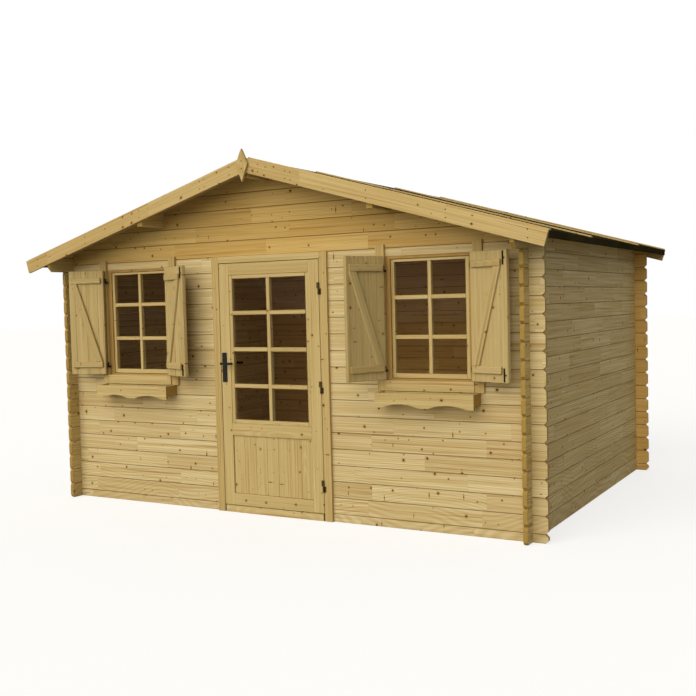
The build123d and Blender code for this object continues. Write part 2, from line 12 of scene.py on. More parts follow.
import bpy
import numpy as np
from mathutils import Matrix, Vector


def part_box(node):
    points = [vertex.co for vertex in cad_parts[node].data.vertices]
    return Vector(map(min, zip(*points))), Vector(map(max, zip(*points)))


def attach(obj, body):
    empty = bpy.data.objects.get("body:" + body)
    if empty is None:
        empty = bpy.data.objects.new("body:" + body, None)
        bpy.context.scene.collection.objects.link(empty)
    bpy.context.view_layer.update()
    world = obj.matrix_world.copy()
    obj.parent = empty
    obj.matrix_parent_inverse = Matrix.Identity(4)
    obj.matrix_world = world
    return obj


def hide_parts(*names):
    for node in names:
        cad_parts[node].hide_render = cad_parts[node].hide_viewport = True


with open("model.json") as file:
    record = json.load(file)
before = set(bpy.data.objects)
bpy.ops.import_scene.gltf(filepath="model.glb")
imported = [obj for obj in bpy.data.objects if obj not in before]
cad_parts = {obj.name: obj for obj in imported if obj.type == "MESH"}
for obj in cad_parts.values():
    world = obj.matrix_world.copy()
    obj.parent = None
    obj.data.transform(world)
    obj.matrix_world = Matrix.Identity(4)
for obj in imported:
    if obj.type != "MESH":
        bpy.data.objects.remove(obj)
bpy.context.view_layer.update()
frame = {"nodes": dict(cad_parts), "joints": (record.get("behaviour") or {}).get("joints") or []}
nodes = frame["nodes"]

# %% [markdown]
# ## Colours and nodes
# A colour is easiest to judge as the sRGB hex value that a screen shows, but a shader works with
# linear light, so one function turns the first into the second. Materials could be drawn by hand in
# the node editor; here one small function adds a node, sets it and links it, so that every finish
# can be read from top to bottom.

# %% Hex colours and the node helper
def linear(hex_colour):
    """Linear red, green, blue and alpha of an sRGB hex value, by the sRGB curve."""
    levels = np.array([int(hex_colour[i:i + 2], 16) for i in (1, 3, 5)]) / 255
    curved = ((levels + 0.055) / 1.055) ** 2.4
    return (*np.where(levels <= 0.04045, levels / 12.92, curved).tolist(), 1.0)


def node(tree, kind, inputs=None, **settings):
    """Add a node, set its properties, link or set its inputs, and return its first live output."""
    made = tree.nodes.new("ShaderNode" + kind)
    for name, value in settings.items():
        setattr(made, name, value)
    for key, value in (inputs or {}).items():
        if isinstance(value, bpy.types.NodeSocket):
            tree.links.new(value, made.inputs[key])
        else:
            made.inputs[key].default_value = value
    return next((socket for socket in made.outputs if socket.enabled), made)


def new_material(name):
    """An empty material and its node tree."""
    material = bpy.data.materials.new(name)
    material.use_nodes = True
    material.node_tree.nodes.clear()
    return material, material.node_tree


print("pale spruce in linear light:", np.round(linear("#DCC389"), 3).tolist())

# %% [markdown]
# ## Where the grain runs
# Planed spruce shows its grain along the board, so the pattern has to know which way each board
# lies. A wood texture could be turned by hand on every object, but one solid here holds sixteen
# logs. So each kind of board gets a few nodes that say, from the place on the object, how far along
# the grain a point lies, how far across it, how deep, and on which board. Logs count their courses
# by height. Boards that this lesson makes carry the same numbers on their own vertices.

# %% Grain of solid logs and boards
COURSE = 0.114          # height of a log course
JOINT_REACH = 0.0045    # how far from a course line the V-joint's shade reaches
FAR_SIDE = 41.0         # added to a board's number beyond the middle, so that no two share one
END_FACING = 0.6        # a face that looks this squarely along the grain shows end grain


def solid_grain(along, counted, spacing, start, is_log=False):
    """Grain frame of solid boards: grain along one axis, boards counted along another.

    A board's number is floor((place - start) / spacing). Where the remainder is close to 0 or 1, a
    log has its V-joint.
    """
    def build(tree):
        place = node(tree, "TexCoord").node.outputs
        axes = node(tree, "SeparateXYZ", {0: place["Object"]}).node.outputs
        facing = node(tree, "SeparateXYZ", {0: place["Normal"]}).node.outputs[along]
        facing = node(tree, "Math", {0: facing}, operation="ABSOLUTE")
        end = node(tree, "Math", {0: facing, 1: END_FACING}, operation="GREATER_THAN")
        through = next(axis for axis in "XYZ" if axis not in (along, counted))
        lifted = node(tree, "Math", {0: axes[counted], 1: start}, operation="SUBTRACT")
        step = node(tree, "Math", {0: lifted, 1: spacing}, operation="DIVIDE")
        number = node(tree, "Math", {0: step}, operation="FLOOR")
        side = node(tree, "Math", {0: axes[through], 1: 0.0}, operation="GREATER_THAN")
        board = node(tree, "Math", {0: side, 1: FAR_SIDE, 2: number}, operation="MULTIPLY_ADD")
        joint = 0.0
        if is_log:
            share = node(tree, "Math", {0: step}, operation="FRACT")
            edge = node(tree, "Math", {0: share, 1: 0.5}, operation="PINGPONG")
            joint = node(tree, "MapRange", {0: edge, 2: JOINT_REACH / spacing, 3: 1.0, 4: 0.0})
        return axes[along], axes[counted], axes[through], board, joint, end
    return build


print("log courses of", COURSE, "m, V-joints of", 2 * JOINT_REACH, "m")

# %% Grain along the roof's slope, and grain that a board carries
ROOF_SLOPE = math.tan(math.radians(16.17))
VERGE_ROW = 0.5         # sloping boards that lie in other rows of this depth get other numbers
ROW_STEP = 3.0          # numbers from row to row, with room for the left and the right board


def verge_grain(tree):
    """Grain frame of boards along the roof's slope: across is z + slope * |x|, height over it."""
    place = node(tree, "TexCoord").node.outputs["Object"]
    axes = node(tree, "SeparateXYZ", {0: place}).node.outputs
    along = node(tree, "Math", {0: axes["X"]}, operation="ABSOLUTE")
    across = node(tree, "Math", {0: along, 1: ROOF_SLOPE, 2: axes["Z"]}, operation="MULTIPLY_ADD")
    side = node(tree, "Math", {0: axes["X"]}, operation="SIGN")
    row = node(tree, "Math", {0: axes["Y"], 1: VERGE_ROW}, operation="DIVIDE")
    row = node(tree, "Math", {0: row}, operation="FLOOR")
    board = node(tree, "Math", {0: row, 1: ROW_STEP, 2: side}, operation="MULTIPLY_ADD")
    return along, across, axes["Y"], board, 0.0, 0.0


def carried_grain(tree):
    """Grain frame of the boards made below, which carry it on their vertices."""
    grain = node(tree, "Attribute", attribute_name="grain").node.outputs["Vector"]
    axes = node(tree, "SeparateXYZ", {0: grain}).node.outputs
    board = node(tree, "Attribute", attribute_name="board").node.outputs["Fac"]
    end = node(tree, "Attribute", attribute_name="end").node.outputs["Fac"]
    return axes["X"], axes["Y"], axes["Z"], board, 0.0, end


print("roof slope", round(ROOF_SLOPE, 4))

# %% [markdown]
# ## Planed spruce
# Fresh planed spruce is pale yellow with a silky, rather plain face. What makes it look real is
# small: fine streaks along the grain with faint arches of growth rings; a brown streak here and
# there; knots, most of them round and as small as a pea, some sawn lengthwise into upright bars; and
# a slight change of tone from one length to the next, because such logs are finger-jointed from
# short lengths. An image could give all that, but a procedural one fits any board and never repeats.
# Real rings are 2 to 4 mm apart, too fine to show here, so they are drawn 9 mm apart.

# %% Finger-jointed lengths
ONE_PIECE = 30.0                        # longer than any board, so that it has no finger joint
LENGTH_SHIFT, BOARD_KEY = 7.0, 17.3     # keep the draws of neighbouring boards apart
PATTERN_SHIFT = (31.0, 23.0, 11.0)      # metres by which a draw of 1 moves a length's pattern


def drawn_lengths(tree, along, board, length):
    """Cut a board into lengths from a drawn start: along / length + shift, its floor and remainder.

    Returns a draw from 0 to 1 for each length, a draw of three, and the share of it gone by.
    """
    start = node(tree, "TexWhiteNoise", {"W": board}, noise_dimensions="1D")
    lengths = node(tree, "Math", {0: along, 1: 1 / length}, operation="MULTIPLY")
    lengths = node(tree, "Math", {0: start, 1: LENGTH_SHIFT, 2: lengths},
                   operation="MULTIPLY_ADD")
    number = node(tree, "Math", {0: lengths}, operation="FLOOR")
    share = node(tree, "Math", {0: lengths}, operation="FRACT")
    key = node(tree, "Math", {0: board, 1: BOARD_KEY, 2: number}, operation="MULTIPLY_ADD")
    draw = node(tree, "TexWhiteNoise", {"W": key}, noise_dimensions="1D")
    return draw, draw.node.outputs["Color"], share


print("a draw of 1 moves the pattern by", PATTERN_SHIFT, "m")

# %% Rings and streaks
RING_SPACING = 0.009                    # drawn coarser than the real 2 to 4 mm so that it shows
STREAK_LENGTH, STREAK_WIDTH, STREAK_DEPTH = 0.80, 0.013, 0.025
STREAK_SHARE = 0.84                     # the rest of the figure is rings
PITH_WANDER = 0.9                       # slow waves of the pith in each metre
PITH_SPREAD = 0.16                      # how far across a board its pith may be drawn
PITH_NEAR, PITH_FAR = 0.02, 0.10        # how deep the pith lies under the face
PITH_LEAN = 0.5                         # share of the board's own depth that counts
NOISE_LOW, NOISE_HIGH = 0.3, 0.7        # nearly all of a noise lies between these
FIGURE_LOW, FIGURE_HIGH = 0.32, 0.68    # what is stretched to run from pale to golden
WAVE_RING = 20                          # a wave texture has this many radians of ring to a unit


def growth_figure(tree, place, across, through, draw):
    """0 for pale and 1 for golden wood: waves of the distance from the pith, and long streaks."""
    wander = node(tree, "VectorMath", {0: place, 1: (PITH_WANDER, 0.0, 0.0)}, operation="MULTIPLY")
    depth = node(tree, "TexNoise", {"Vector": wander, "Scale": 1.0, "Detail": 1.0})
    drawn = node(tree, "SeparateXYZ", {0: draw}).node.outputs["Y"]
    pith = node(tree, "Math", {0: drawn, 1: PITH_SPREAD, 2: across}, operation="MULTIPLY_ADD")
    below = node(tree, "MapRange", {0: depth, 1: NOISE_LOW, 2: NOISE_HIGH, 3: PITH_NEAR, 4: PITH_FAR})
    below = node(tree, "Math", {0: through, 1: PITH_LEAN, 2: below}, operation="MULTIPLY_ADD")
    from_pith = node(tree, "CombineXYZ", {1: pith, 2: below})
    rings = node(tree, "TexWave", {"Vector": from_pith, "Distortion": 1.0, "Detail": 2.0,
                                   "Scale": math.tau / (WAVE_RING * RING_SPACING),
                                   "Detail Scale": 22.0},
                 wave_type="RINGS", rings_direction="X").node.outputs["Fac"]
    thin = (1 / STREAK_LENGTH, 1 / STREAK_WIDTH, 1 / STREAK_DEPTH)
    thin = node(tree, "VectorMath", {0: place, 1: thin}, operation="MULTIPLY")
    streaks = node(tree, "TexNoise", {"Vector": thin, "Scale": 1.0, "Detail": 3.0,
                                      "Roughness": 0.55})
    figure = node(tree, "Mix", {0: STREAK_SHARE, 2: rings, 3: streaks})
    return node(tree, "MapRange", {0: figure, 1: FIGURE_LOW, 2: FIGURE_HIGH})


print("rings", RING_SPACING, "m apart, streaks", STREAK_WIDTH, "m wide")

# %% Knots and brown streaks
ROUND_KNOTS = (0.085, 0.30, 1.0, 0.0030, 0.0095)    # cell, share held, stretch, least and most radius
SPIKE_KNOTS = (0.115, 0.36, 5.0, 0.0022, 0.0045)    # knots sawn lengthwise: narrow and tall
NO_KNOT = 100.0                                     # distance that an empty place counts for
HALO_REACH, HALO_SHARE = (2.3, 0.9), 0.55           # in knot radii, from the outer to the inner edge
CORE_REACH = (1.05, 0.65)
HEART_LENGTH, HEART_WIDTH, HEART_DEPTH = 1.10, 0.016, 1 / 12
HEART_LOW, HEART_HIGH, HEART_SHARE = 0.61, 0.73, 0.62   # noise from here to there turns this brown
HEART_BROWN, HALO_BROWN, CORE_BROWN = "#94692E", "#A07030", "#563A1A"


def knots(tree, place, cell, held, stretch, small, large):
    """Distance to the nearest knot in knot radii: Voronoi places, some of them empty.

    A knot's radius goes with the square of a draw, so small ones are commoner.
    """
    squeezed = node(tree, "VectorMath", {0: place, 1: (1.0, 1 / stretch, 1.0)},
                    operation="MULTIPLY")
    spots = node(tree, "TexVoronoi", {"Vector": squeezed, "Scale": 1 / cell},
                 voronoi_dimensions="2D").node.outputs
    draw = node(tree, "SeparateXYZ", {0: spots["Color"]}).node.outputs
    empty = node(tree, "Math", {0: draw["X"], 1: held}, operation="GREATER_THAN")
    radius = node(tree, "Math", {0: draw["Y"], 1: 2.0}, operation="POWER")
    radius = node(tree, "MapRange", {0: radius, 3: small / cell, 4: large / cell})
    near = node(tree, "Math", {0: spots["Distance"], 1: radius}, operation="DIVIDE")
    return node(tree, "Math", {0: empty, 1: NO_KNOT, 2: near}, operation="MULTIPLY_ADD")


def marked(tree, place, colour):
    """Brown streaks where a slow noise runs high, then knots: a golden halo round a dark core."""
    long = (1 / HEART_LENGTH, 1 / HEART_WIDTH, 1 / HEART_DEPTH)
    long = node(tree, "VectorMath", {0: place, 1: long}, operation="MULTIPLY")
    heart = node(tree, "TexNoise", {"Vector": long, "Scale": 1.0, "Detail": 2.0})
    heart = node(tree, "MapRange", {0: heart, 1: HEART_LOW, 2: HEART_HIGH, 4: HEART_SHARE})
    near = node(tree, "Math", {0: knots(tree, place, *ROUND_KNOTS),
                               1: knots(tree, place, *SPIKE_KNOTS)}, operation="MINIMUM")
    halo = node(tree, "MapRange", {0: near, 1: HALO_REACH[0], 2: HALO_REACH[1], 4: HALO_SHARE},
                interpolation_type="SMOOTHSTEP")
    core = node(tree, "MapRange", {0: near, 1: CORE_REACH[0], 2: CORE_REACH[1]},
                interpolation_type="SMOOTHSTEP")
    for share, brown in ((heart, HEART_BROWN), (halo, HALO_BROWN), (core, CORE_BROWN)):
        colour = node(tree, "Mix", {0: share, 6: colour, 7: linear(brown)}, data_type="RGBA")
    return colour


print("a knot place every", ROUND_KNOTS[0], "m,", ROUND_KNOTS[1], "of them held")

# %% The spruce finish
FINGER_LINE, FINGER_SHADE = 0.0025, 0.22    # drawn coarser than the real 0.5 mm
# painted shade, with some dust, in the V-joint between log courses
JOINT_SHADE, JOINT_SHADE_BROWN = 0.8, "#5A3C16"
END_SHARE, END_BROWN = 0.88, "#9C7E38"
TURNED_RARITY = 1.8                         # the higher, the fewer lengths turn brown


def spruce(name, pale, golden, brown, grain, length=ONE_PIECE, tone=0.33):
    """Planed spruce: figure between pale and golden, lengths that turn brown, marks and joints."""
    material, tree = new_material(name)
    along, across, through, board, joint, end = grain(tree)
    draw, three_draws, share = drawn_lengths(tree, along, board, length)
    place = node(tree, "CombineXYZ", {0: along, 1: across, 2: through})
    place = node(tree, "VectorMath", {0: three_draws, 1: PATTERN_SHIFT, 2: place},
                 operation="MULTIPLY_ADD")
    figure = growth_figure(tree, place, across, through, three_draws)
    colour = node(tree, "Mix", {0: figure, 6: linear(pale), 7: linear(golden)}, data_type="RGBA")
    turned = node(tree, "Math", {0: draw, 1: TURNED_RARITY}, operation="POWER")
    turned = node(tree, "Math", {0: turned, 1: tone}, operation="MULTIPLY")
    colour = node(tree, "Mix", {0: turned, 6: colour, 7: linear(brown)}, data_type="RGBA")
    colour = marked(tree, place, colour)

    # the finger joint's line, painted shade and dust in a V-joint, and the browner end grain
    line = node(tree, "MapRange", {0: share, 2: FINGER_LINE / length, 3: FINGER_SHADE, 4: 0.0})
    line = node(tree, "Math", {0: joint, 1: JOINT_SHADE, 2: line}, operation="MULTIPLY_ADD",
                use_clamp=True)
    colour = node(tree, "Mix", {0: line, 6: colour, 7: linear(JOINT_SHADE_BROWN)}, data_type="RGBA")
    ending = node(tree, "Math", {0: end, 1: END_SHARE}, operation="MULTIPLY")
    colour = node(tree, "Mix", {0: ending, 6: colour, 7: linear(END_BROWN)}, data_type="RGBA")

    # planed wood is silky: a broad, weak gloss that breaks up along the figure
    rough = node(tree, "MapRange", {0: figure, 3: 0.52, 4: 0.68})
    bump = node(tree, "Bump", {"Height": figure, "Strength": 0.35, "Distance": 0.0006})
    shader = node(tree, "BsdfPrincipled", {"Base Color": colour, "Roughness": rough,
                                           "Specular IOR Level": 0.08, "Normal": bump})
    node(tree, "OutputMaterial", {"Surface": shader})
    return material


print("finger joints drawn", FINGER_LINE, "m wide")

# %% [markdown]
# ## The same wood in several tones
# The joinery was planed finer than the logs and takes tones of its own. The logs are one wood in lit
# and shaded copies: the tones of the gable under the eaves, of the side walls and of the back are
# painted for the shade that falls on them. Every tone could be mixed into one material by height and
# depth. Separate finishes are easier to read, and each solid then takes the one that its own grain
# needs.

# %% Spruce finishes
LOG_TONES = ("#DACBA0", "#BAA26C", "#A4854C")
# painted shade: tones of the side walls and eave logs, which stand in shade, with less blue than the
# front's
SIDE_SHADE_LOG_TONES = ("#D9C691", "#B99F60", "#A48248")
GABLE_SHADE_LOG_TONES = ("#D2B778", "#BC9A54", "#A37B36")     # painted shade: the gable under the eaves, darker and more golden
SHADED_LOG_TONES = ("#E0BC78", "#CCA458", "#B28840")     # painted shade and bounce light at the back: warmer and more orange
TRIM_TONES = ("#CBB580", "#B59A60", "#A28246")
BOARD_TONES = ("#CCB985", "#B69F68", "#A0824A")
POST_TONES = ("#C4AE78", "#AE945C", "#987A42")           # jambs and posts, more golden
FRAME_SHADE_TONES = ("#B2935A", "#9C7B42", "#8A6A34")          # painted shade: window frames, darker for the shade in their recess between the posts
SHUTTER_TONES = ("#C5B382", "#AF9862", "#997E46")
LOG_LENGTH, PURLIN_LENGTH, VERGE_LENGTH = 0.83, 1.4, 1.05    # from finger joint to finger joint
VERGE_TONE = 0.3

# the grain's axis, the axis along which boards are counted, their spacing, where the count starts
front_logs = solid_grain("X", "Z", COURSE, COURSE / 2, is_log=True)
side_logs = solid_grain("Y", "Z", COURSE, 0.0, is_log=True)
upright_posts = solid_grain("Z", "X", 0.35, 0.17)
level_boards = solid_grain("X", "Z", 0.21, 0.04)
deep_beams = solid_grain("Y", "X", 0.45, 0.22)

# logs: pale yellow courses, each with painted shade and dust in its V-joint, knots and lengths of
# slightly other tone; the gable, side and back copies carry painted shade tones
log_across = spruce("planed_spruce_log_across", *LOG_TONES, front_logs, LOG_LENGTH)
log_gable_shade = spruce("planed_spruce_log_gable_shade", *GABLE_SHADE_LOG_TONES, front_logs, LOG_LENGTH)
log_shaded = spruce("planed_spruce_log_shaded", *SHADED_LOG_TONES, front_logs, LOG_LENGTH)
log_deep = spruce("planed_spruce_log_deep", *SIDE_SHADE_LOG_TONES, side_logs, LOG_LENGTH)
# trim and joinery: the same silk with straight grain and no joints
upright = spruce("planed_spruce_upright", *POST_TONES, upright_posts)
level = spruce("planed_spruce_level", *BOARD_TONES, level_boards)
purlin = spruce("planed_spruce_purlin", *BOARD_TONES, deep_beams, PURLIN_LENGTH)
verge = spruce("planed_spruce_verge", *TRIM_TONES, verge_grain, VERGE_LENGTH, VERGE_TONE)
# made boards: grain that turns with each board, and brown end grain
boarding = spruce("planed_spruce_boarding", *BOARD_TONES, carried_grain)
# window frames: tones painted darker for the shade in their recess
shade_darkened_framing = spruce("planed_spruce_window_frame_shade_darkened", *FRAME_SHADE_TONES, carried_grain)
shutter_wood = spruce("planed_spruce_shutter", *SHUTTER_TONES, carried_grain)
print("spruce finishes:", [m.name for m in bpy.data.materials if m.name.startswith("planed")])

# %% [markdown]
# ## Felt, glass, iron and bronzed steel
# Roofing felt is bitumen rolled in crushed slate: nearly black with an olive cast, quite dull, and
# gritty. Float glass is clear and smooth, and a thin pane bends light so little that it can simply
# let it through, with a weak mirror on top. The door's handle and the shutters' irons are painted
# black, and the hinges and nails are bronzed steel, dark brown with a faint bloom. Each could be a
# single colour, but a little grit, bloom or brush mark is what tells them apart in the light.

# %% Felt and glass
GRIT = 0.006            # the real grit is 1 to 2 mm; drawn coarser so that it shows
FELT_PATCHES = 2.2      # weathered patches to a metre
FELT_LOW, FELT_HIGH = 0.12, 0.42
FELT_DARK, FELT_LIGHT = "#242012", "#443E28"
GLASS_WAVES = 3.0       # slow waves to a metre in a drawn pane
PANE_TINT, PANE_ALPHA = "#16120C", 0.05


def mineral_felt():
    """Slate-faced bitumen felt: grit and patches of two olives, so dull that it has no shine."""
    material, tree = new_material("slate_faced_bitumen_felt")
    place = node(tree, "TexCoord").node.outputs["Object"]
    grit = node(tree, "TexNoise", {"Vector": place, "Scale": 1 / GRIT, "Detail": 2.0})
    patch = node(tree, "TexNoise", {"Vector": place, "Scale": FELT_PATCHES, "Detail": 3.0})
    share = node(tree, "Math", {0: grit, 1: patch}, operation="MULTIPLY")
    share = node(tree, "MapRange", {0: share, 1: FELT_LOW, 2: FELT_HIGH})
    colour = node(tree, "Mix", {0: share, 6: linear(FELT_DARK), 7: linear(FELT_LIGHT)},
                  data_type="RGBA")
    bump = node(tree, "Bump", {"Height": grit, "Strength": 0.6, "Distance": 0.002})
    shader = node(tree, "BsdfPrincipled", {"Base Color": colour, "Roughness": 0.92,
                                           "Specular IOR Level": 0.0, "Normal": bump})
    node(tree, "OutputMaterial", {"Surface": shader})
    return material


def float_glass():
    """Clear float glass: the room shows straight through, under a weak, almost sharp mirror."""
    material, tree = new_material("clear_float_glass")
    place = node(tree, "TexCoord").node.outputs["Object"]
    wave = node(tree, "TexNoise", {"Vector": place, "Scale": GLASS_WAVES, "Detail": 1.0})
    rough = node(tree, "MapRange", {0: wave, 3: 0.0, 4: 0.03})
    shader = node(tree, "BsdfPrincipled", {"Base Color": linear(PANE_TINT), "Roughness": rough,
                                           "IOR": 1.5, "Alpha": PANE_ALPHA})
    node(tree, "OutputMaterial", {"Surface": shader})
    return material


felt = mineral_felt()
glass = float_glass()
print("roof and panes:", felt.name, glass.name)

# %% Iron and bronzed steel
BLOOM = 0.018           # size of the clouds in a bronzed coat and of the brush marks in paint
MATT, SATIN = 0.55, 0.38


def metal_finish(name, dark, light, metallic, specular):
    """A coat with clouds of two tones, and a gloss that goes from satin to matt with them."""
    material, tree = new_material(name)
    place = node(tree, "TexCoord").node.outputs["Object"]
    cloud = node(tree, "TexNoise", {"Vector": place, "Scale": 1 / BLOOM, "Detail": 4.0})
    colour = node(tree, "Mix", {0: cloud, 6: linear(dark), 7: linear(light)}, data_type="RGBA")
    rough = node(tree, "MapRange", {0: cloud, 3: SATIN, 4: MATT})
    bump = node(tree, "Bump", {"Height": cloud, "Strength": 0.2, "Distance": 0.0008})
    shader = node(tree, "BsdfPrincipled", {"Base Color": colour, "Metallic": metallic,
                                           "Specular IOR Level": specular, "Roughness": rough,
                                           "Normal": bump})
    node(tree, "OutputMaterial", {"Surface": shader})
    return material


# paint hides the iron: a black skin with soft highlights along the edges
black_iron = metal_finish("black_painted_iron", "#0D0C0B", "#1C1A17", metallic=0.0, specular=0.15)
# a bronzed coat is still metal: dark brown that mirrors the wood round it
bronzed = metal_finish("bronzed_steel", "#33281A", "#574529", metallic=1.0, specular=0.5)
print("ironwork:", black_iron.name, bronzed.name)

# %% [markdown]
# ## Dress the solids
# A solid whose shape is right keeps its mesh and only takes a finish in its material slot. The side
# logs and the front logs lie at right angles, so they take the same wood with the grain turned.

# %% Finishes for the solids
WINDOWS = ("left", "right")
HANDS = {"left": -1, "right": 1}        # each hand, and its sign along x
finishes = {
    log_across: ["front_wall_left", "front_wall_right"],
    log_gable_shade: ["front_gable"],
    log_shaded: ["back_wall", "back_gable"],
    log_deep: ["left_wall", "right_wall", "eave_logs"],
    purlin: ["purlins", "floor_bearers"],
    verge: ["roof_battens", "front_bargeboards", "back_bargeboards"],
    upright: ["finial", "door_jambs"] + [f"{w}_window_posts" for w in WINDOWS],
    level: ["door_head", "door_threshold"]
    + [f"{w}_{n}" for w in WINDOWS for n in ("window_sill", "flower_box")],
    felt: ["left_roof_felt", "right_roof_felt"],
    glass: ["door_glass"] + [f"{w}_window_glass" for w in WINDOWS],
    black_iron: ["door_handle_plates", "door_lever"] + [f"{w}_window_pins" for w in WINDOWS]
    + [f"{w}_window_{h}_straps" for w in WINDOWS for h in HANDS],
    bronzed: ["door_hinges", "frame_hinges"],
}
for material, names in finishes.items():
    for name in names:
        if nodes[name].material_slots:
            nodes[name].material_slots[0].material = material
        else:
            nodes[name].data.materials.append(material)
print("dressed", sum(len(names) for names in finishes.values()), "solids of", len(nodes))

# %% [markdown]
# ## One way to make every board
# Nearly all that is added is a planed board, a round bar or a nail head. They could be cubes and
# cylinders with modifiers. Here a section is carried along a run instead, for many bars at once, so
# each vertex also knows how far along and across its own board it lies, and the grain follows.

# %% Carry sections along runs
def rows(values, count):
    """Values as one row of three numbers for each bar."""
    return np.broadcast_to(np.asarray(values, float), (count, 3))


def carry(sections, stations, starts, runs, across):
    """Places and grain of bars: start + station * run + across * u + through * v.

    (u, v) is the section's point, and through is the cross product of run and across, made one
    long. Sections are (bars, rings, points, 2), stations (bars, rings), the others (bars, 3).
    """
    through = np.cross(runs, across)
    through = through / np.linalg.norm(through, axis=1, keepdims=True)
    u, v = sections[..., 0], sections[..., 1]
    places = (starts[:, None, None] + stations[..., None, None] * runs[:, None, None]
              + u[..., None] * across[:, None, None] + v[..., None] * through[:, None, None])
    lengths = np.linalg.norm(runs, axis=1)[:, None, None]
    along = np.broadcast_to(stations[..., None] * lengths, u.shape)
    return places, np.stack([along, u, v], -1)


ends = np.array([[0.0, 1.0]])
line = carry(np.zeros((1, 2, 1, 2)), ends, rows(0, 1), rows((0, 0, 1), 1), rows((1, 0, 0), 1))[0]
print("a line carried up one metre ends at", line[0, 1, 0].tolist())

# %% Boards, turned bars and nail heads
RIGHT, UP, OUT = (1.0, 0.0, 0.0), (0.0, 0.0, 1.0), (0.0, -1.0, 0.0)
INWARDS = (0.0, 1.0, 0.0)
FINE_CHAMFER, BOARD_CHAMFER = 0.0015, 0.003
HEAD_SWEEP, HEAD_RINGS = 1.35, 4        # angle up to a nail head's flat top, and rings on the way
CORNERS = np.array([(1, 1), (1, 1), (-1, 1), (-1, 1), (-1, -1), (-1, -1), (1, -1), (1, -1)], float)
CUTS = np.array([(0, 1), (1, 0), (1, 0), (0, 1), (0, 1), (1, 0), (1, 0), (0, 1)], float)


def boards(starts, ends, across, width, depth, chamfer=FINE_CHAMFER):
    """Planed boards: a rectangle with cut corners carried from start to end, ends cut as well."""
    count = len(np.atleast_2d(starts))
    starts = rows(starts, count)
    runs = rows(ends, count) - starts
    half = np.stack(np.broadcast_arrays(width, depth, np.zeros(count))[:2], -1)[:, None] / 2
    full = CORNERS * (half - CUTS * chamfer)
    drawn_in = CORNERS * (half - chamfer - CUTS * chamfer / 2)
    sections = np.stack([drawn_in, full, full, drawn_in], 1)
    inset = chamfer / np.linalg.norm(runs, axis=1)
    stations = np.stack([0 * inset, inset, 1 - inset, 1 + 0 * inset], 1)
    return carry(sections, stations, starts, runs, rows(across, count))


def turned_bars(starts, ends, across, radii, shares, points=14):
    """Turned bars: a circle carried from start to end, its radius set ring by ring at shares."""
    count = len(np.atleast_2d(starts))
    starts = rows(starts, count)
    angle = np.arange(points) * math.tau / points
    circle = np.stack([np.cos(angle), np.sin(angle)], -1)
    sections = np.broadcast_to(np.asarray(radii)[:, None, None] * circle,
                               (count, len(radii), points, 2))
    stations = np.broadcast_to(np.asarray(shares, float), (count, len(shares)))
    return carry(sections, stations, starts, rows(ends, count) - starts, rows(across, count))


def nail_heads(centres, normal, radius, height):
    """Nail heads: a quarter ellipse about the normal, radius * cos t out and height * sin t up."""
    t = np.linspace(0, HEAD_SWEEP, HEAD_RINGS)
    centres = np.atleast_2d(centres)
    return turned_bars(centres, centres + height * np.asarray(normal), RIGHT,
                       radius * np.cos(t), np.sin(t), points=10)


print("a board has", boards((0, 0, 0), UP, RIGHT, 0.1, 0.02)[0][..., 0].size, "vertices")

# %% From carried bars to a piece
SMOOTH_BELOW = math.radians(40)
bars_made = []          # bars in each part so far, so that every board gets a number of its own


def faces_of(places, first):
    """Quads round each bar from ring to ring, and a cap at both ends, with faces outwards."""
    bars, rings, points = places.shape[:3]
    number = first + np.arange(bars * rings * points).reshape(bars, rings, points)
    following = np.roll(number, -1, axis=2)
    quads = np.stack([number[:, :-1], following[:, :-1], following[:, 1:], number[:, 1:]], -1)
    caps = np.concatenate([number[:, 0, ::-1], number[:, -1]])
    return quads.reshape(-1, 4).tolist() + caps.tolist()


def piece(name, parts, body, material, stands_for=(), smooth=False):
    """One mesh from carried parts, with grain, board number and end grain on its vertices."""
    faces, first, numbers, ends = [], 0, [], []
    for places, _ in parts:
        shape = places.shape[:3]
        faces += faces_of(places, first)
        first += places[..., 0].size
        number = sum(bars_made) + np.arange(shape[0])
        bars_made.append(shape[0])
        numbers.append(np.broadcast_to(number[:, None, None], shape).ravel())
        is_end = np.isin(np.arange(shape[1]), (0, shape[1] - 1)).astype(float)
        ends.append(np.broadcast_to(is_end[:, None], shape).ravel())
    mesh = bpy.data.meshes.new(name)
    mesh.from_pydata(np.concatenate([places.reshape(-1, 3) for places, _ in parts]), [], faces)
    grain = np.concatenate([grain.reshape(-1, 3) for _, grain in parts])
    for label, kind, field, data in (("grain", "FLOAT_VECTOR", "vector", grain),
                                     ("board", "FLOAT", "value", np.concatenate(numbers)),
                                     ("end", "FLOAT", "value", np.concatenate(ends))):
        layer = mesh.attributes.new(label, kind, "POINT")
        layer.data.foreach_set(field, np.asarray(data, np.float32).ravel())
    if smooth:
        mesh.shade_smooth()
        mesh.set_sharp_from_angle(angle=SMOOTH_BELOW)
    mesh.materials.append(material)
    made = bpy.data.objects.new(name, mesh)
    bpy.context.scene.collection.objects.link(made)
    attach(made, body)
    if stands_for:
        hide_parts(*stands_for)
    print(name, len(mesh.vertices), "vertices", len(mesh.polygons), "faces")
    return made


print("smooth pieces keep edges sharp above", round(math.degrees(SMOOTH_BELOW)), "degrees")

# %% [markdown]
# ## Frames of two uprights and two rails
# A window frame, a sash, a glazed door and the border round its pane are all the same joinery: two
# uprights over the full height and two rails between them. One mesh with a hole could stand for it,
# but then the grain would run one way all round and no joint would show at the corners. So the four
# members are boards of their own, and so are the bars that divide a pane.

# %% The stile-and-rail frame and its bars
BAR_CHAMFER = 0.0025


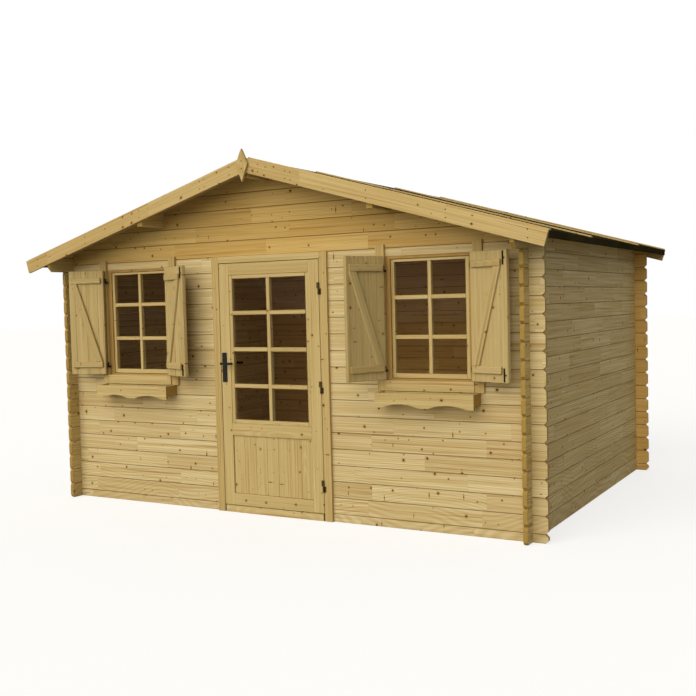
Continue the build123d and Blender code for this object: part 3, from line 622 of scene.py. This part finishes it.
def stile_and_rail(low, high, side, bottom, top, front, depth, chamfer=FINE_CHAMFER):
    """Four boards between an outline's low and high corner (x, z), from a front plane back."""
    middle = front + depth / 2
    left, right = low[0] + side / 2, high[0] - side / 2
    uprights = boards([(left, middle, low[1]), (right, middle, low[1])],
                      [(left, middle, high[1]), (right, middle, high[1])],
                      RIGHT, side, depth, chamfer)
    level_z = np.array([low[1] + bottom / 2, high[1] - top / 2])
    near = np.stack([np.full(2, low[0] + side), np.full(2, middle), level_z], -1)
    far = near + np.array([high[0] - low[0] - 2 * side, 0, 0])
    return [uprights, boards(near, far, UP, np.array([bottom, top]), depth, chamfer)]


def glazing_bars(low, high, heights, wide, tall, front, depth):
    """One upright bar in the middle of an outline, and level bars on each side of it."""
    middle_x, middle_y = (low[0] + high[0]) / 2, front + depth / 2
    stem = boards((middle_x, middle_y, low[1]), (middle_x, middle_y, high[1]),
                  RIGHT, wide, depth, BAR_CHAMFER)
    edges = np.array([(low[0], middle_x - wide / 2), (middle_x + wide / 2, high[0])])
    x, z = np.meshgrid(edges[:, 0], heights)
    near = np.stack([x.ravel(), np.full(x.size, middle_y), z.ravel()], -1)
    reach = np.array([edges[0, 1] - edges[0, 0], 0, 0])
    return [stem, boards(near, near + reach, UP, tall, depth, BAR_CHAMFER)]


square = stile_and_rail((0, 0), (1, 1), 0.1, 0.1, 0.1, 0, 0.1)
print("a frame has", sum(len(places) for places, _ in square), "boards")

# %% [markdown]
# ## The two windows
# Each window is a fixed frame with a sash in it, one pane, and bars on both sides of the pane that
# make it look like six. A dark slit is left round the sash, as on a real one. The frame's boards lie
# exactly where the casement's solid lies and stand for it.

# %% Frames, sashes and bars
FRAME_SIDE, FRAME_BOTTOM, FRAME_TOP, FRAME_DEPTH = 0.054, 0.043, 0.020, 0.050
SASH_SIDE, SASH_BOTTOM, SASH_TOP, SASH_DEPTH, SASH_SETBACK = 0.026, 0.033, 0.020, 0.034, 0.007
SASH_PLAY = 0.0030      # the dark slit round a closed sash
WINDOW_BAR = (0.025, 0.027)             # width of the upright bar, height of the level ones
WINDOW_BAR_HEIGHTS = (1.287, 1.550)
WINDOW_BAR_SETBACK, INNER_BAR_DEPTH = 0.0005, 0.012
PANE_GAP = 0.0002

for word in WINDOWS:
    low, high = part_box(f"{word}_window_casement")
    pane_low, pane_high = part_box(f"{word}_window_glass")
    outline = (low.x, low.z), (high.x, high.z)
    sash = ((low.x + FRAME_SIDE + SASH_PLAY, low.z + FRAME_BOTTOM + SASH_PLAY),
            (high.x - FRAME_SIDE - SASH_PLAY, high.z - FRAME_TOP - SASH_PLAY))
    pane = (pane_low.x, pane_low.z), (pane_high.x, pane_high.z)
    sash_front = low.y + SASH_SETBACK
    parts = stile_and_rail(*outline, FRAME_SIDE, FRAME_BOTTOM, FRAME_TOP, low.y, FRAME_DEPTH)
    piece(f"{word}_frame_boards", parts, "cabin", shade_darkened_framing,
          [f"{word}_window_casement"])
    parts = stile_and_rail(*sash, SASH_SIDE - SASH_PLAY, SASH_BOTTOM - SASH_PLAY,
                           SASH_TOP - SASH_PLAY, sash_front, SASH_DEPTH)
    piece(f"{word}_sash_boards", parts, "cabin", boarding)
    front = sash_front + WINDOW_BAR_SETBACK
    parts = glazing_bars(*pane, WINDOW_BAR_HEIGHTS, *WINDOW_BAR, front,
                         pane_low.y - PANE_GAP - front)
    parts += glazing_bars(*pane, WINDOW_BAR_HEIGHTS, *WINDOW_BAR, pane_high.y + PANE_GAP,
                          INNER_BAR_DEPTH)
    piece(f"{word}_window_bars", parts, "cabin", boarding)

# %% [markdown]
# ## The half-glazed door
# The leaf is joinery too: stiles up both sides, three rails, a border round the pane, and a panel of
# upright boards below. The solid leaf is one block with two openings. Building it from its members
# gives each its own grain and a fine line where two of them meet.

# %% Leaf
STILE, GLAZING_BORDER, BORDER_SETBACK = 0.085, 0.027, 0.003

low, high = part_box("door_leaf")
pane_low, pane_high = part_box("door_glass")
panel_low, panel_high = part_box("door_panel")
leaf_middle, leaf_depth = (low.y + high.y) / 2, high.y - low.y
border_low = (pane_low.x - GLAZING_BORDER, pane_low.z - GLAZING_BORDER)
border_high = (pane_high.x + GLAZING_BORDER, pane_high.z + GLAZING_BORDER)
parts = stile_and_rail((low.x, low.z), (high.x, high.z), STILE, panel_low.z - low.z,
                       high.z - border_high[1], low.y, leaf_depth)
mid = (border_low[1] + panel_high.z) / 2
parts.append(boards((low.x + STILE, leaf_middle, mid), (high.x - STILE, leaf_middle, mid),
                    UP, border_low[1] - panel_high.z, leaf_depth))
parts += stile_and_rail(border_low, border_high, GLAZING_BORDER, GLAZING_BORDER, GLAZING_BORDER,
                        low.y + BORDER_SETBACK, leaf_depth - 2 * BORDER_SETBACK, BOARD_CHAMFER)
piece("door_leaf_boards", parts, "door", boarding, ["door_leaf"])

# %% Door bars and panel
DOOR_BAR = (0.028, 0.029)               # width of the upright bar, height of the level ones
DOOR_BAR_HEIGHTS = (0.936, 1.203, 1.469)
DOOR_BAR_SETBACK = 0.001
PANEL_BOARDS, PANEL_CHAMFER = 7, 0.004

pane = (pane_low.x, pane_low.z), (pane_high.x, pane_high.z)
bar_front = low.y + DOOR_BAR_SETBACK
bar_depth = pane_low.y - PANE_GAP - bar_front
parts = []
for front in (bar_front, pane_high.y + PANE_GAP):
    parts += glazing_bars(*pane, DOOR_BAR_HEIGHTS, *DOOR_BAR, front, bar_depth)
piece("door_bars", parts, "door", boarding)

panel_width = (panel_high.x - panel_low.x) / PANEL_BOARDS
middle_x = panel_low.x + (np.arange(PANEL_BOARDS) + 0.5) * panel_width
middle_y = np.full(PANEL_BOARDS, (panel_low.y + panel_high.y) / 2)
foot = np.stack([middle_x, middle_y, np.full(PANEL_BOARDS, panel_low.z)], -1)
lift = np.array([0, 0, panel_high.z - panel_low.z])
parts = [boards(foot, foot + lift, RIGHT, panel_width, panel_high.y - panel_low.y, PANEL_CHAMFER)]
piece("door_panel_boards", parts, "door", boarding, ["door_panel"])

# %% [markdown]
# ## The shutters
# A shutter is four upright boards held by two ledges and a brace, with the ledges on the face that
# looks at the window when it is shut. At rest the shutters hang open, each at its own angle. They
# could be modelled as they hang, but it is simpler to build them shut and then to turn the arrays
# about the hinge by the angle that the joint's lower limit gives.

# %% Boards, ledges and braces
SHUTTER_WIDTH, EDGE_GAP, PIVOT_COVER = 0.295, 0.010, 0.009
BOARD_DEPTH, LEDGE_DEPTH, LEDGE_HEIGHT, LEDGE_INSET = 0.028, 0.016, 0.045, 0.056
LEDGE_END_GAP, BOLT_END_GAP, BRACE_WIDTH = 0.018, 0.042, 0.055
BOARD_SHARES = np.array([0.0, 0.17, 0.50, 0.83, 1.0])   # edges of the boards across a shutter


def shutter(hinge_x, free_x, face, low_z, high_z, side):
    """A shut shutter: upright boards, a level ledge near each end, and a brace between the ledges.

    Boards lie between neighbouring edges at width * share, the ledges on the boards' inner face, and
    the brace runs from the hinge's low corner to the free high one.
    """
    edge_x = min(hinge_x, free_x) + BOARD_SHARES * SHUTTER_WIDTH
    board_x = (edge_x[1:] + edge_x[:-1]) / 2
    foot = np.stack(np.broadcast_arrays(board_x, face + BOARD_DEPTH / 2, low_z), -1)
    lift = np.array([0, 0, high_z - low_z])
    ledge_y = face + BOARD_DEPTH + LEDGE_DEPTH / 2
    low_ledge, high_ledge = low_z + LEDGE_INSET, high_z - LEDGE_INSET
    ledge_z = np.array([low_ledge + LEDGE_HEIGHT / 2, high_ledge - LEDGE_HEIGHT / 2])
    root = hinge_x - side * LEDGE_END_GAP
    tip = free_x + side * (BOLT_END_GAP if side > 0 else LEDGE_END_GAP)
    ledge = np.stack(np.broadcast_arrays(min(root, tip), ledge_y, ledge_z), -1)
    ledge_run = np.array([abs(root - tip), 0, 0])
    brace_foot = (root - side * BRACE_WIDTH / 2, ledge_y, low_ledge + LEDGE_HEIGHT)
    brace_head = (tip + side * BRACE_WIDTH / 2, ledge_y, high_ledge - LEDGE_HEIGHT)
    return [boards(foot, foot + lift, RIGHT, np.diff(edge_x), BOARD_DEPTH, BOARD_CHAMFER),
            boards(ledge, ledge + ledge_run, UP, LEDGE_HEIGHT, LEDGE_DEPTH, BOARD_CHAMFER),
            boards(brace_foot, brace_head, RIGHT, BRACE_WIDTH, LEDGE_DEPTH, BOARD_CHAMFER)]


print("shutters of", len(BOARD_SHARES) - 1, "boards,", SHUTTER_WIDTH, "m wide")

# %% Bolts
BOLT_PLATE, BOLT_PLATE_DEPTH, PLATE_CHAMFER = 0.011, 0.002, 0.0005
BOLT_LENGTH, BOLT_RADIUS, BOLT_INSET, BOLT_END = 0.085, 0.0035, 0.028, 0.008
GRIP_LENGTH, GRIP_RADIUS = 0.018, 0.003
ROD_RADII, ROD_SHARES = BOLT_RADIUS * np.array([0.8, 1, 1, 0.8]), (0, 0.03, 0.97, 1)
GRIP_RADII, GRIP_SHARES = GRIP_RADIUS * np.array([1, 1, 1.3, 1.3, 0.6]), (0, 0.5, 0.6, 0.9, 1)


def bolts(free_x, face, low_z, high_z):
    """A bolt at the foot and one at the head: a plate, a rod that lies on it, and a side grip."""
    bolt_z = np.array([low_z + BOLT_END, high_z - BOLT_END - BOLT_LENGTH])
    bolt = np.stack(np.broadcast_arrays(free_x + BOLT_INSET, face + BOARD_DEPTH, bolt_z), -1)
    rise = np.array([0, 0, BOLT_LENGTH])
    plate = bolt + np.array([0, BOLT_PLATE_DEPTH / 2, 0])
    rod = bolt + np.array([0, BOLT_PLATE_DEPTH + BOLT_RADIUS, 0])
    grip = rod + rise / 2
    return [boards(plate, plate + rise, RIGHT, BOLT_PLATE, BOLT_PLATE_DEPTH, PLATE_CHAMFER),
            turned_bars(rod, rod + rise, RIGHT, ROD_RADII, ROD_SHARES),
            turned_bars(grip, grip - np.array([GRIP_LENGTH, 0, 0]), UP, GRIP_RADII, GRIP_SHARES)]


print("bolts of", BOLT_LENGTH, "m")

# %% Hang the shutters
def turn(part, pivot, degrees):
    """Turn carried places about an upright axis: x cos - y sin, x sin + y cos from the pivot."""
    places, grain = part
    cosine, sine = math.cos(math.radians(degrees)), math.sin(math.radians(degrees))
    matrix = np.array([(cosine, sine, 0), (-sine, cosine, 0), (0, 0, 1)])
    base = np.array([pivot[0], pivot[1], 0.0])
    return (places - base) @ matrix + base, grain


hinges = {joint["child"]: joint for joint in frame["joints"]}
for word in WINDOWS:
    for hand, side in HANDS.items():
        body = f"{word}_window_{hand}_shutter"
        pivot = hinges[body]["pos_m"]
        opened = -side * hinges[body]["range_deg"][0]
        low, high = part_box(body)
        face = pivot[1] - PIVOT_COVER
        hinge_x = pivot[0] - side * EDGE_GAP
        free_x = hinge_x - side * SHUTTER_WIDTH
        parts = shutter(hinge_x, free_x, face, low.z, high.z, side)
        piece(f"{body}_boards", [turn(part, pivot, opened) for part in parts], body,
              shutter_wood, [body])
        if side > 0:    # the right shutter of each pair carries the bolts
            parts = bolts(free_x, face, low.z, high.z)
            piece(f"{body}_bolts", [turn(part, pivot, opened) for part in parts], body,
                  black_iron, smooth=True)

# %% [markdown]
# ## Roof boards and floor boards
# The roof's underside shows boards that run from ridge to eave, and the floor's boards lie across
# its bearers. A groove drawn in a bump map would vanish at the edge that shows. So each board is a
# section carried along its run, with its own cut corners, and together they fill the solid sheet.

# %% Sarking and floor
SARKING_WIDTH, FLOOR_BOARD, FLOOR_CHAMFER = 0.096, 0.110, 0.002
slope_cosine = math.cos(math.atan(ROOF_SLOPE))


def even_rows(low_y, high_y, wanted):
    """The width closest to the wanted one that fills a span evenly, and the middle of each row."""
    count = round((high_y - low_y) / wanted)
    width = (high_y - low_y) / count
    return width, low_y + (np.arange(count) + 0.5) * width


for word, side in HANDS.items():
    low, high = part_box(f"{word}_roof_deck")
    width, row_y = even_rows(low.y, high.y, SARKING_WIDTH)
    upright_depth = high.z - low.z - (high.x - low.x) * ROOF_SLOPE
    ridge_x, eave_x = (high.x, low.x) if side < 0 else (low.x, high.x)
    ridge = np.stack(np.broadcast_arrays(ridge_x, row_y, high.z - upright_depth / 2), -1)
    fall = np.array([eave_x - ridge_x, 0, -abs(eave_x - ridge_x) * ROOF_SLOPE])
    parts = [boards(ridge, ridge + fall, INWARDS, width, upright_depth * slope_cosine, BOARD_CHAMFER)]
    piece(f"{word}_sarking", parts, "cabin", boarding, [f"{word}_roof_deck"])

low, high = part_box("floor_boards")
width, row_y = even_rows(low.y, high.y, FLOOR_BOARD)
near = np.stack(np.broadcast_arrays(low.x, row_y, (low.z + high.z) / 2), -1)
run = np.array([high.x - low.x, 0, 0])
parts = [boards(near, near + run, INWARDS, width, high.z - low.z, FLOOR_CHAMFER)]
piece("floor_planks", parts, "cabin", boarding, ["floor_boards"])

# %% [markdown]
# ## Nails, screws and the lock
# Pairs of nails hold the bargeboards, and two more the finial. The handle's plate has a screw at
# each end and a lock cylinder below the lever. All are small turned shapes, so one function for a
# turned bar makes them, many at a time.

# %% Nail heads
NAIL_RADIUS, NAIL_RISE = 0.0045, 0.0012
NAIL_REACHES = np.array([0.12, 0.34, 0.38, 0.95, 1.50, 2.02])   # from the ridge, out to each side
NAIL_SHARES = (0.24, 0.74)              # of the bargeboard's depth
BARGEBOARD_DEPTH = 0.098
FINIAL_NAILS = np.array([0.09, 0.14])   # over the finial's foot

heads = []
for name, normal, face in (("front_bargeboards", OUT, 0), ("back_bargeboards", INWARDS, 1)):
    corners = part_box(name)
    x, share = np.meshgrid(np.concatenate([-NAIL_REACHES, NAIL_REACHES]), NAIL_SHARES)
    z = corners[1].z - np.abs(x) * ROOF_SLOPE - share * BARGEBOARD_DEPTH / slope_cosine
    centres = np.stack([x.ravel(), np.full(x.size, corners[face].y), z.ravel()], -1)
    heads.append(nail_heads(centres, normal, NAIL_RADIUS, NAIL_RISE))
piece("bargeboard_nails", heads, "cabin", bronzed, smooth=True)

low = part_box("finial")[0]
centres = np.stack(np.broadcast_arrays(0.0, low.y, low.z + FINIAL_NAILS), -1)
heads = [nail_heads(centres, OUT, NAIL_RADIUS, NAIL_RISE)]
piece("finial_nails", heads, "cabin", bronzed, smooth=True)

# %% Screws, lock and key slots
SCREW_RADIUS, SCREW_RISE, SCREW_INSET = 0.0042, 0.0014, 0.014
LOCK_HEIGHT, LOCK_RADIUS, LOCK_RISE = 0.062, 0.0085, 0.004
LOCK_RADII, LOCK_SHARES = LOCK_RADIUS * np.array([1, 1, 0.9]), (0, 0.8, 1)
SLOT_LENGTH, SLOT_WIDTH, SLOT_DEPTH, SLOT_CHAMFER = 0.009, 0.0022, 0.0006, 0.0001
SLOT_LIFT = 0.0042                      # the slot's middle, just over the lock's face

low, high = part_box("door_handle_plates")
plate_x, lock_z = (low.x + high.x) / 2, low.z + LOCK_HEIGHT
screw_z = np.array([low.z + SCREW_INSET, high.z - SCREW_INSET])
parts, slots = [], []
for plane, out in ((low.y, -1.0), (high.y, 1.0)):
    centres = np.stack(np.broadcast_arrays(plate_x, plane, screw_z), -1)
    parts.append(nail_heads(centres, (0, out, 0), SCREW_RADIUS, SCREW_RISE))
    parts.append(turned_bars((plate_x, plane, lock_z), (plate_x, plane + out * LOCK_RISE, lock_z),
                             RIGHT, LOCK_RADII, LOCK_SHARES))
    face = plane + out * SLOT_LIFT
    slots.append(boards((plate_x, face, lock_z - SLOT_LENGTH / 2),
                        (plate_x, face, lock_z + SLOT_LENGTH / 2),
                        RIGHT, SLOT_WIDTH, SLOT_DEPTH, SLOT_CHAMFER))
piece("lock_and_screws", parts, "door", black_iron, smooth=True)
piece("key_slots", slots, "door", black_iron)

# %% [markdown]
# ## Light and floor
# The photograph was taken outdoors in soft light from the front, and cut out on white. A low sun with
# a very wide disc gives the same soft-edged shade under the eaves and beside the shutters, and an
# even sky fills the rest. A weak second light from behind keeps the back readable, and a faint lamp
# in the room shows the logs behind the panes. White behind the cabin comes from what the camera sees
# of the world, not from more light on the wood.

# %% World
SKY = 0.29
WHITE = "#FFFFFF"


def seen_rays(tree):
    """1 for what is seen straight, in a mirror or through glass, and 0 for light on the object."""
    path = node(tree, "LightPath").node.outputs
    seen = node(tree, "Math", {0: path["Is Camera Ray"], 1: path["Is Glossy Ray"]}, operation="ADD")
    return node(tree, "Math", {0: seen, 1: path["Is Transmission Ray"]}, operation="ADD",
                use_clamp=True)


scene = bpy.context.scene
scene.view_settings.view_transform = "Standard"
world = bpy.data.worlds.new("studio")
scene.world = world
world.use_nodes = True
tree = world.node_tree
tree.nodes.clear()
strength = node(tree, "MapRange", {0: seen_rays(tree), 3: SKY, 4: 1.0})
sky = node(tree, "Background", {"Color": linear(WHITE), "Strength": strength})
node(tree, "OutputWorld", {"Surface": sky})
print("sky of", SKY, "on the object, and white behind it")

# %% Sun, fill and room lamp
LAMPS = {                # the way each light travels, its strength and the width of its disc
    "sun": ((0.10, 0.88, -0.45), 3.07, math.radians(75)),
    "fill": ((0.35, -0.80, -0.48), 0.70, math.radians(110)),
}
SUN_TINT, ROOM_TINT = "#FFF6E6", "#FFE2B8"
ROOM_WATTS, ROOM_LAMP_RADIUS = 4.5, 0.3
ROOM_LAMP_PLACE = (0.0, 0.2, 0.45)

for name, (heading, lamp_strength, disc) in LAMPS.items():
    light = bpy.data.lights.new(name, "SUN")
    light.energy = lamp_strength
    light.angle = disc
    light.color = linear(SUN_TINT)[:3]
    lamp = bpy.data.objects.new(name, light)
    scene.collection.objects.link(lamp)
    lamp.rotation_euler = (math.acos(-heading[2] / np.linalg.norm(heading)), 0,
                           math.atan2(heading[0], -heading[1]) + math.pi)

# a faint lamp stands in for the light that the room's own walls throw on the logs behind the panes
room_light = bpy.data.lights.new("room", "POINT")
room_light.energy = ROOM_WATTS
room_light.shadow_soft_size = ROOM_LAMP_RADIUS
room_light.color = linear(ROOM_TINT)[:3]
room_lamp = bpy.data.objects.new("room", room_light)
room_lamp.location = ROOM_LAMP_PLACE
room_lamp.visible_camera = False
room_lamp.visible_glossy = False
scene.collection.objects.link(room_lamp)
print("lamps", list(LAMPS), "and", room_lamp.name)

# %% Floor
FLOOR_REACH, FLOOR_DROP = 60.0, 0.0005
FLOOR_LIGHT, FLOOR_SEEN = "#8A8A84", "#F2F2F0"      # what lights the object, and what is seen
GLOW_SHARE, GLOW = 0.62, 1.15                       # keeps the floor near white round the shadow

corner = FLOOR_REACH * np.array([(-1, -1), (1, -1), (1, 1), (-1, 1)])
mesh = bpy.data.meshes.new("floor")
mesh.from_pydata(np.column_stack([corner, np.full(4, -FLOOR_DROP)]), [], [(0, 1, 2, 3)])
floor = bpy.data.objects.new("floor", mesh)
scene.collection.objects.link(floor)
# a painted studio floor: even, pale and matt, so that only the soft shadow shows on it
floor_finish, tree = new_material("pale_studio_floor")
seen = seen_rays(tree)
share = node(tree, "Math", {0: seen, 1: GLOW_SHARE}, operation="MULTIPLY")
tint = node(tree, "Mix", {0: seen, 6: linear(FLOOR_LIGHT), 7: linear(FLOOR_SEEN)},
            data_type="RGBA")
plain = node(tree, "BsdfDiffuse", {"Color": tint})
bright = node(tree, "Emission", {"Color": linear(WHITE), "Strength": GLOW})
mixed = node(tree, "MixShader", {0: share, 1: plain, 2: bright})
node(tree, "OutputMaterial", {"Surface": mixed})
mesh.materials.append(floor_finish)
print("floor", 2 * FLOOR_REACH, "m wide")

# %% [markdown]
# ## The camera
# A camera fitted to the log courses and corners of the photograph gave its place, its turn and its
# focal length. Two turns and a slight roll place the axes, and the lens follows from the width of
# the picture in pixels.

# %% Camera at the photograph's view
EYE = (3.87915, -7.11618, 1.52242)
YAW, PITCH, ROLL = (math.radians(a) for a in (29.603, 2.690, -1.425))
FOCAL_PIXELS, PICTURE_PIXELS, SENSOR = 959.70, 696, 36.0
FARTHEST = 300.0

flat_ahead = np.array([-math.sin(YAW), math.cos(YAW), 0.0])
flat_right = np.array([math.cos(YAW), math.sin(YAW), 0.0])
ahead = math.cos(PITCH) * flat_ahead - math.sin(PITCH) * np.array(UP)
above = np.cross(flat_right, ahead)
right_axis = math.cos(ROLL) * flat_right + math.sin(ROLL) * above
up_axis = -math.sin(ROLL) * flat_right + math.cos(ROLL) * above
lens = bpy.data.cameras.new("camera")
lens.sensor_width = SENSOR
lens.lens = FOCAL_PIXELS / PICTURE_PIXELS * SENSOR
lens.clip_end = FARTHEST
camera = bpy.data.objects.new("camera", lens)
scene.collection.objects.link(camera)
turned = np.eye(4)
turned[:3, :3] = np.stack([right_axis, up_axis, -ahead], 1)
turned[:3, 3] = EYE
camera.matrix_world = Matrix(turned.tolist())
scene.camera = camera
print("lens", round(lens.lens, 2), "mm")
